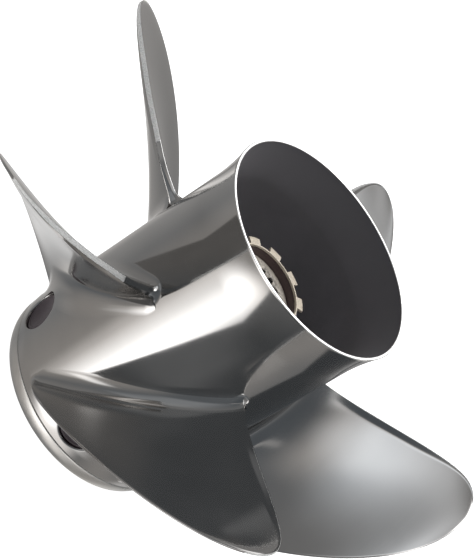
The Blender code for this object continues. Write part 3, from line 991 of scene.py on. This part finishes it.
def buildSleeve():
    # turned outside; the bore's radius swings between lands and grooves by smooth steps
    metal = speckled("sleeve_metal", sleeve["look"])
    rise, crest, fall, end = sleeve["slopes"]
    falling = np.linspace(fall, 0.985, 6)
    phases = np.concatenate([[0.0, 0.2, 0.4], np.linspace(rise, crest, 7), [0.62, 0.71, 0.8], falling])
    phase = np.append(np.tile(phases, sleeve["splines"]), 0.0)
    step = turn / sleeve["splines"]
    angles = np.append((np.arange(sleeve["splines"])[:, None] + phases).ravel() * step, turn)
    groove = smoothStep(rise, crest, phase) * (1 - smoothStep(fall, end, phase))
    bore = sleeve["lands"] + (sleeve["grooves"] - sleeve["lands"]) * groove
    wide = np.maximum(bore, sleeve["lands"] + sleeve["mouth"])
    body, flange = sleeve["body"], sleeve["flange"]
    front, rear = sleeve["front"], sleeve["rear"]
    floor = cushion["recessFloor"] + sleeve["flangeGap"]
    small = sleeve["bodyChamfer"]
    nearDepth, farDepth = sleeve["mouthDepths"]
    profile = [
        (wide, front), (body - small, front), (body, front + small), (body, floor), (flange, floor),
        *softEdge(flange, rear, sleeve["flangeRound"], 1),
        (wide + 0.3 * mm, rear), (wide, rear - 0.25 * mm), (bore, rear - farDepth),
        (bore, front + nearDepth), (wide, front),
    ]
    grid = turnedGrid(profile, angles)
    addSkin("drive_sleeve", [(grid, metal)], "sleeve_steel", "splined_sleeve", sharp=35.0)


ring = {
    "front": 132.8 * mm,
    "rear": 134.1 * mm,
    "inside": 22.02 * mm,
    "radius": 23.0 * mm,
    "round": 0.25 * mm,
    "toothRadius": 26.8 * mm,
    "teeth": 10,
    "toothAngle": math.radians(77.0),
    "toothSlope": 0.014,  # half the width of a tooth's side, as a share of a tooth's step
    "look": {"colour": (0.80, 0.70, 0.56), "gloss": 0.5, "speck": 0.9, "contrast": 0.15, "depth": 0.06},
}


def toothedOutline():
    # Angles and radius of the ring's outside. A tooth fills the first half of each step, between short
    # smooth steps that round its corners.
    slope = ring["toothSlope"]
    side = np.linspace(-slope, slope, 9)
    phases = np.concatenate([side, [0.07, 0.16, 0.25, 0.34, 0.43], side + 0.5, [0.59, 0.71, 0.83, 0.92]])
    places = (np.arange(ring["teeth"])[:, None] + phases - 0.25).ravel()
    angles = ring["toothAngle"] + places * turn / ring["teeth"]
    tooth = smoothStep(-slope, slope, phases) * (1 - smoothStep(0.5 - slope, 0.5 + slope, phases))
    radius = ring["radius"] + (ring["toothRadius"] - ring["radius"]) * np.tile(tooth, ring["teeth"])
    return np.append(angles, angles[0] + turn), np.append(radius, radius[0])


def buildRing():
    # a flat ring between the recess and the toothed outline, with its edges softened
    metal = speckled("ring_metal", ring["look"])
    angles, out = toothedOutline()
    inside, front, rear, soft = ring["inside"], ring["front"], ring["rear"], ring["round"]
    profile = [
        (inside, front), (out - soft, front), (out, front + soft),
        *softEdge(out, rear, soft, 1), *softEdge(inside, rear, soft, -1)[::-1], (inside, front),
    ]
    grid = turnedGrid(profile, angles)
    addSkin("toothed_ring", [(grid, metal)], "ring_bronze", "castellated_ring", sharp=35.0)


# Camera, light and floor

camera = {
    "elevation": 31.51,  # degrees above level
    "roll": -57.45,  # degrees about the line of sight
    "distance": 1048.7 * mm,
    "focalPixels": 2020.2,  # focal length in pixels of the picture
    "imageHeight": 559,
    "sensor": 36.0,
    "aimHeight": 85.0 * mm,
    "right": 9.29 * mm,  # how far the camera stands left of the line to its aim, before the roll
    "up": -30.12 * mm,  # and below it
}


def buildCamera():
    # looks from the side of minus Y down at a point on the shaft, and is then rolled
    e = math.radians(camera["elevation"])
    roll = math.radians(camera["roll"])
    back = np.array([0.0, -math.cos(e), math.sin(e)])
    right = np.array([1.0, 0.0, 0.0])
    up = np.array([0.0, math.sin(e), math.cos(e)])
    aim = np.array([0.0, 0.0, camera["aimHeight"]]) - right * camera["right"] - up * camera["up"]
    matrix = np.eye(4)
    matrix[:3, 0] = math.cos(roll) * right - math.sin(roll) * up
    matrix[:3, 1] = math.sin(roll) * right + math.cos(roll) * up
    matrix[:3, 2] = back
    matrix[:3, 3] = aim + back * camera["distance"]
    data = bpy.data.cameras.new("camera")
    data.sensor_width = camera["sensor"]
    data.lens = camera["focalPixels"] * camera["sensor"] / camera["imageHeight"]
    piece = addObject("camera", data)
    piece.matrix_world = Matrix(matrix.tolist())
    bpy.context.scene.camera = piece


studio = {
    "dark": 0.167,  # brightness of the dark side of the room, in front and above
    "grey": 0.277,  # and of its grey side, behind and below
    "greyMiddle": (102.6, 19.6),  # its azimuth and elevation
    "greyEase": (-0.3, 0.5),  # cosines from its middle between which it eases in
    "darkWarmth": -0.08,  # share by which the red is over and the blue under the green
    "greyWarmth": 0.013,
    "floorSize": 6.0,
    "floorColour": (0.5, 0.5, 0.5, 1.0),
    "floorGlow": 1.0,
    # Soft boxes: azimuth, elevation, tilt, half width, half height and softness in degrees, then
    # brightness and warmth. One below 0 takes light away, as a black card does.
    "boxes": [
        (-96, -37, 16, 17.0, 3.5, 12.5, 2.53, 0),
        (-57, -52, 17, 4.4, 10.2, 11.6, 0.91, 0.04),
        (-111, 76, -5, 13.1, 4.6, 9.4, 0.71, -0.07),
        (-125, -42, 9, 34.6, 33.0, 20.9, 0.21, 0.15),
        (-52, -22, -59, 13.4, 6.6, 11.7, 1.29, 0.02),
        (20, 5, -8, 56.6, 2.6, 6.7, 0.20, -0.02),
        (100, -14, 21, 1.9, 56.2, 16.5, 0.12, 0.08),
        (-9, -45, -47, 43.7, 15.8, 16.5, 0.17, 0.15),
        (-98, 46, -3, 1.7, 9.2, 0.7, 0.34, 0.05),
        (-135, 25, 6, 24.3, 13.5, 7.0, 0.18, -0.02),
        (-29, -21, -5, 18.8, 8.5, 1.8, 1.15, 0),
        (123, -27, -42, 48.0, 15.9, 11.9, 0.07, 0),
        (-87, -49, 8, 11.0, 1.3, 11.0, 1.33, 0.02),
        (62, 30, -38, 37.4, 2.0, 2.5, 0.61, -0.04),
        (-88, 68, 15, 13.3, 3.5, 9.3, 0.35, 0.08),
        (67, -47, 14, 28.3, 8.4, 7.0, 0.44, 0),
        (54, 16, -5, 3.5, 4.4, 8.1, 0.35, -0.02),
        (79, 50, 51, 13.3, 29.9, 3.3, 1.35, -0.03),
        (-96, 85, 20, 12.0, 10.3, 3.7, 0.45, -0.02),
        (-131, -17, 17, 5.3, 11.4, 4.4, 1.10, 0),
        (-133, -28, -41, 13.2, 8.6, 6.1, 0.51, 0.03),
        (-45, 53, -17, 34.7, 20.5, 10.3, -0.04, 0),
        (76, -56, -4, 10.1, 1.2, 6.5, 0.51, 0.06),
        (95, 48, 0, 25.0, 14.0, 4.0, 1.60, 0),
        (30, 74, 0, 28.0, 11.0, 5.0, 3.40, 0),
        (100, 0, 0, 9.0, 6.0, 4.5, 1.40, 0),
    ],
}


def boxAxes(azimuth, elevation, tilt=0.0):
    # the direction towards a soft box, and its right and up, turned by the tilt
    a, e, t = math.radians(azimuth), math.radians(elevation), math.radians(tilt)
    ahead = (math.cos(e) * math.cos(a), math.cos(e) * math.sin(a), math.sin(e))
    level = np.array([-math.sin(a), math.cos(a), 0.0])
    steep = np.array([-math.sin(e) * math.cos(a), -math.sin(e) * math.sin(a), math.cos(e)])
    right = level * math.cos(t) + steep * math.sin(t)
    up = steep * math.cos(t) - level * math.sin(t)
    return ahead, tuple(right), tuple(up)


def softBox(paint, direction, azimuth, elevation, tilt, width, height, soft, strength):
    # A rectangle of light far away: full up to its half sizes less the softness, and eased to nothing
    # at the half sizes plus it, both taken as tangents.
    def window(axis, half):
        inside = math.tan(math.radians(max(half - soft, 0.0)))
        outside = math.tan(math.radians(half + soft))
        tangent = (paint.reach(direction, axis) / depth).math("ABSOLUTE")
        settings = {"clamp": True, "interpolation_type": "SMOOTHSTEP"}
        return paint.add("ShaderNodeMapRange", settings, [tangent, outside, inside, 0.0, 1.0])

    ahead, right, up = boxAxes(azimuth, elevation, tilt)
    depth = paint.reach(direction, ahead)
    inFront = depth.math("GREATER_THAN", 0.01)
    return window(right, width) * window(up, height) * inFront * strength


def buildStudio():
    # Light of the room's two sides plus every soft box. Its warmth is added to red and taken from blue.
    world = bpy.data.worlds.new("studio")
    world.use_nodes = True
    paint = Paint(world.node_tree)
    direction = paint.add("ShaderNodeTexCoord", output="Generated")
    towards = paint.reach(direction, boxAxes(*studio["greyMiddle"])[0])
    dark, grey = studio["dark"], studio["grey"]
    light = paint.spread(towards, *studio["greyEase"], dark, grey)
    warmest = (dark * studio["darkWarmth"], grey * studio["greyWarmth"])
    warmth = paint.spread(towards, *studio["greyEase"], *warmest)
    for *box, warm in studio["boxes"]:
        glow = softBox(paint, direction, *box)
        light = light + glow
        if warm:
            warmth = warmth + glow * warm
    colour = paint.add("ShaderNodeCombineXYZ", {}, [light + warmth, light, light - warmth])
    paint.plug(paint.tree.nodes["Background"].inputs["Color"], colour)
    bpy.context.scene.world = world
    bpy.context.scene.view_settings.view_transform = "Standard"


def buildFloor():
    # a glowing white square that neither shades the room's light nor shows in the steel
    size = studio["floorSize"]
    mesh = bpy.data.meshes.new("floor")
    corners = [(-size, -size, 0), (size, -size, 0), (size, size, 0), (-size, size, 0)]
    mesh.from_pydata(corners, [], [(0, 1, 2, 3)])
    white = {"Emission Color": (1.0, 1.0, 1.0, 1.0), "Emission Strength": studio["floorGlow"]}
    mesh.materials.append(Finish("floorPaint", white).feed(studio["floorColour"], 0.9))
    floor = addObject("floor", mesh)
    floor.visible_glossy = False
    floor.visible_shadow = False


def buildPropeller():
    dark = darkCasting("inside_cast")
    bandSteel = turnedSteel("band_turned", band["colour"])
    buildHub(polishedSteel("hub_polish", "height"), dark, turnedSteel("rim_turned_highlight", hub["rimHighlightColour"]))
    buildFrontBand(bandSteel)
    print("hub built")
    buildBlades(polishedSteel("blade_polish", "distance", banded=True))
    print("blades built")
    buildPlugs()
    buildInnerHub(dark, bandSteel)
    buildWebs(dark)
    print("plugs, inner hub and webs built")
    buildCushion()
    buildSleeve()
    buildRing()
    print("drive parts built")


buildPropeller()
buildFloor()
buildStudio()
buildCamera()
print("stage, light and camera built")
